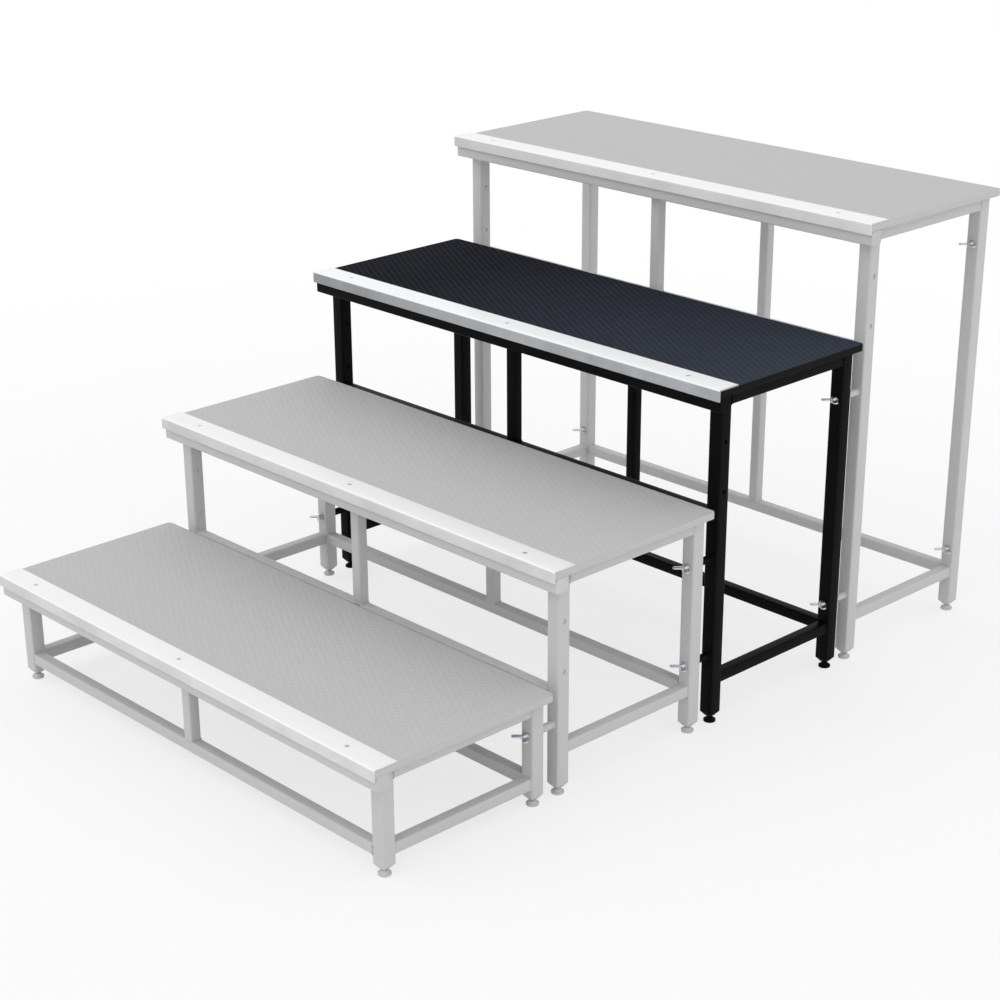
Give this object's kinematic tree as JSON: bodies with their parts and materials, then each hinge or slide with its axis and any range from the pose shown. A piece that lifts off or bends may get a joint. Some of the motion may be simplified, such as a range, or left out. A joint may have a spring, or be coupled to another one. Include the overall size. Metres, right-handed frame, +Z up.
{
  "type": "stage stairs",
  "caption": "Modular stage stairs: freestanding steel tube step modules of rising height, bolted leg to leg, each with an anti-slip deck, aluminium nosing and screw feet.",
  "frame": {"origin": "on the floor, at the middle of the plan of the four modules", "axes": "+Y up the stairs, +X to the right when climbing, +Z up"},
  "size_m": [1, 1.451, 0.8],
  "materials": {
    "black_coat": "satin black powder coat",
    "grey_coat": "light grey powder coat",
    "black_film": "plywood with black anti-slip film, wire mesh texture",
    "grey_film": "plywood with light grey anti-slip film",
    "bright_aluminium": "mill finish angle",
    "pale_aluminium": null,
    "zinc": "bright zinc plate"
  },
  "bodies": {
    "stairs": {"step1_frame": "grey_coat", "step1_deck": "grey_film", "step1_nosing": "pale_aluminium", "step1_screw_left": "zinc", "step1_screw_middle": "zinc", "step1_screw_right": "zinc", "step2_frame": "grey_coat", "step2_deck": "grey_film", "step2_nosing": "pale_aluminium", "step2_screw_left": "zinc", "step2_screw_middle": "zinc", "step2_screw_right": "zinc", "step3_frame": "black_coat", "step3_deck": "black_film", "step3_nosing": "bright_aluminium", "step3_screw_left": "zinc", "step3_screw_middle": "zinc", "step3_screw_right": "zinc", "step4_frame": "grey_coat", "step4_deck": "grey_film", "step4_nosing": "pale_aluminium", "step4_screw_left": "zinc", "step4_screw_middle": "zinc", "step4_screw_right": "zinc"},
    "step1_foot_front_left_body": {"step1_foot_front_left": "grey_coat"},
    "step1_foot_front_right_body": {"step1_foot_front_right": "grey_coat"},
    "step1_foot_rear_left_body": {"step1_foot_rear_left": "grey_coat"},
    "step1_foot_rear_right_body": {"step1_foot_rear_right": "grey_coat"},
    "step1_wing_bolt_lower_left_body": {"step1_wing_bolt_lower_left": "zinc"},
    "step1_wing_bolt_lower_right_body": {"step1_wing_bolt_lower_right": "zinc"},
    "step2_foot_front_left_body": {"step2_foot_front_left": "grey_coat"},
    "step2_foot_front_right_body": {"step2_foot_front_right": "grey_coat"},
    "step2_foot_rear_left_body": {"step2_foot_rear_left": "grey_coat"},
    "step2_foot_rear_right_body": {"step2_foot_rear_right": "grey_coat"},
    "step2_wing_bolt_lower_left_body": {"step2_wing_bolt_lower_left": "zinc"},
    "step2_wing_bolt_lower_right_body": {"step2_wing_bolt_lower_right": "zinc"},
    "step2_wing_bolt_upper_left_body": {"step2_wing_bolt_upper_left": "zinc"},
    "step2_wing_bolt_upper_right_body": {"step2_wing_bolt_upper_right": "zinc"},
    "step3_foot_front_left_body": {"step3_foot_front_left": "black_coat"},
    "step3_foot_front_right_body": {"step3_foot_front_right": "black_coat"},
    "step3_foot_rear_left_body": {"step3_foot_rear_left": "black_coat"},
    "step3_foot_rear_right_body": {"step3_foot_rear_right": "black_coat"},
    "step3_wing_bolt_lower_left_body": {"step3_wing_bolt_lower_left": "zinc"},
    "step3_wing_bolt_lower_right_body": {"step3_wing_bolt_lower_right": "zinc"},
    "step3_wing_bolt_upper_left_body": {"step3_wing_bolt_upper_left": "zinc"},
    "step3_wing_bolt_upper_right_body": {"step3_wing_bolt_upper_right": "zinc"},
    "step4_foot_front_left_body": {"step4_foot_front_left": "grey_coat"},
    "step4_foot_front_right_body": {"step4_foot_front_right": "grey_coat"},
    "step4_foot_rear_left_body": {"step4_foot_rear_left": "grey_coat"},
    "step4_foot_rear_right_body": {"step4_foot_rear_right": "grey_coat"},
    "step4_wing_bolt_lower_left_body": {"step4_wing_bolt_lower_left": "zinc"},
    "step4_wing_bolt_lower_right_body": {"step4_wing_bolt_lower_right": "zinc"},
    "step4_wing_bolt_upper_left_body": {"step4_wing_bolt_upper_left": "zinc"},
    "step4_wing_bolt_upper_right_body": {"step4_wing_bolt_upper_right": "zinc"}
  },
  "joints": [
    {"name": "step1_foot_front_left_travel", "type": "slide", "parent": "stairs", "child": "step1_foot_front_left_body", "axis": [0, 0, -1], "range_m": [0, 0.02]},
    {"name": "step1_foot_front_right_travel", "type": "slide", "parent": "stairs", "child": "step1_foot_front_right_body", "axis": [0, 0, -1], "range_m": [0, 0.02]},
    {"name": "step1_foot_rear_left_travel", "type": "slide", "parent": "stairs", "child": "step1_foot_rear_left_body", "axis": [0, 0, -1], "range_m": [0, 0.02]},
    {"name": "step1_foot_rear_right_travel", "type": "slide", "parent": "stairs", "child": "step1_foot_rear_right_body", "axis": [0, 0, -1], "range_m": [0, 0.02]},
    {"name": "step1_wing_bolt_lower_left_turn", "type": "hinge", "parent": "stairs", "child": "step1_wing_bolt_lower_left_body", "pos_m": [-0.469, -0.3908, 0.12495], "axis": [0, 1, 0], "continuous": true},
    {"name": "step1_wing_bolt_lower_right_turn", "type": "hinge", "parent": "stairs", "child": "step1_wing_bolt_lower_right_body", "pos_m": [0.469, -0.3908, 0.12495], "axis": [0, 1, 0], "continuous": true},
    {"name": "step2_foot_front_left_travel", "type": "slide", "parent": "stairs", "child": "step2_foot_front_left_body", "axis": [0, 0, -1], "range_m": [0, 0.02]},
    {"name": "step2_foot_front_right_travel", "type": "slide", "parent": "stairs", "child": "step2_foot_front_right_body", "axis": [0, 0, -1], "range_m": [0, 0.02]},
    {"name": "step2_foot_rear_left_travel", "type": "slide", "parent": "stairs", "child": "step2_foot_rear_left_body", "axis": [0, 0, -1], "range_m": [0, 0.02]},
    {"name": "step2_foot_rear_right_travel", "type": "slide", "parent": "stairs", "child": "step2_foot_rear_right_body", "axis": [0, 0, -1], "range_m": [0, 0.02]},
    {"name": "step2_wing_bolt_lower_left_turn", "type": "hinge", "parent": "stairs", "child": "step2_wing_bolt_lower_left_body", "pos_m": [-0.469, -0.0288, 0.12495], "axis": [0, 1, 0], "continuous": true},
    {"name": "step2_wing_bolt_lower_right_turn", "type": "hinge", "parent": "stairs", "child": "step2_wing_bolt_lower_right_body", "pos_m": [0.469, -0.0288, 0.12495], "axis": [0, 1, 0], "continuous": true},
    {"name": "step2_wing_bolt_upper_left_turn", "type": "hinge", "parent": "stairs", "child": "step2_wing_bolt_upper_left_body", "pos_m": [-0.469, -0.0288, 0.3], "axis": [0, 1, 0], "continuous": true},
    {"name": "step2_wing_bolt_upper_right_turn", "type": "hinge", "parent": "stairs", "child": "step2_wing_bolt_upper_right_body", "pos_m": [0.469, -0.0288, 0.3], "axis": [0, 1, 0], "continuous": true},
    {"name": "step3_foot_front_left_travel", "type": "slide", "parent": "stairs", "child": "step3_foot_front_left_body", "axis": [0, 0, -1], "range_m": [0, 0.02]},
    {"name": "step3_foot_front_right_travel", "type": "slide", "parent": "stairs", "child": "step3_foot_front_right_body", "axis": [0, 0, -1], "range_m": [0, 0.02]},
    {"name": "step3_foot_rear_left_travel", "type": "slide", "parent": "stairs", "child": "step3_foot_rear_left_body", "axis": [0, 0, -1], "range_m": [0, 0.02]},
    {"name": "step3_foot_rear_right_travel", "type": "slide", "parent": "stairs", "child": "step3_foot_rear_right_body", "axis": [0, 0, -1], "range_m": [0, 0.02]},
    {"name": "step3_wing_bolt_lower_left_turn", "type": "hinge", "parent": "stairs", "child": "step3_wing_bolt_lower_left_body", "pos_m": [-0.469, 0.3332, 0.12495], "axis": [0, 1, 0], "continuous": true},
    {"name": "step3_wing_bolt_lower_right_turn", "type": "hinge", "parent": "stairs", "child": "step3_wing_bolt_lower_right_body", "pos_m": [0.469, 0.3332, 0.12495], "axis": [0, 1, 0], "continuous": true},
    {"name": "step3_wing_bolt_upper_left_turn", "type": "hinge", "parent": "stairs", "child": "step3_wing_bolt_upper_left_body", "pos_m": [-0.469, 0.3332, 0.5], "axis": [0, 1, 0], "continuous": true},
    {"name": "step3_wing_bolt_upper_right_turn", "type": "hinge", "parent": "stairs", "child": "step3_wing_bolt_upper_right_body", "pos_m": [0.469, 0.3332, 0.5], "axis": [0, 1, 0], "continuous": true},
    {"name": "step4_foot_front_left_travel", "type": "slide", "parent": "stairs", "child": "step4_foot_front_left_body", "axis": [0, 0, -1], "range_m": [0, 0.02]},
    {"name": "step4_foot_front_right_travel", "type": "slide", "parent": "stairs", "child": "step4_foot_front_right_body", "axis": [0, 0, -1], "range_m": [0, 0.02]},
    {"name": "step4_foot_rear_left_travel", "type": "slide", "parent": "stairs", "child": "step4_foot_rear_left_body", "axis": [0, 0, -1], "range_m": [0, 0.02]},
    {"name": "step4_foot_rear_right_travel", "type": "slide", "parent": "stairs", "child": "step4_foot_rear_right_body", "axis": [0, 0, -1], "range_m": [0, 0.02]},
    {"name": "step4_wing_bolt_lower_left_turn", "type": "hinge", "parent": "stairs", "child": "step4_wing_bolt_lower_left_body", "pos_m": [-0.469, 0.6952, 0.12495], "axis": [0, 1, 0], "continuous": true},
    {"name": "step4_wing_bolt_lower_right_turn", "type": "hinge", "parent": "stairs", "child": "step4_wing_bolt_lower_right_body", "pos_m": [0.469, 0.6952, 0.12495], "axis": [0, 1, 0], "continuous": true},
    {"name": "step4_wing_bolt_upper_left_turn", "type": "hinge", "parent": "stairs", "child": "step4_wing_bolt_upper_left_body", "pos_m": [-0.469, 0.6952, 0.7], "axis": [0, 1, 0], "continuous": true},
    {"name": "step4_wing_bolt_upper_right_turn", "type": "hinge", "parent": "stairs", "child": "step4_wing_bolt_upper_right_body", "pos_m": [0.469, 0.6952, 0.7], "axis": [0, 1, 0], "continuous": true}
  ]
}
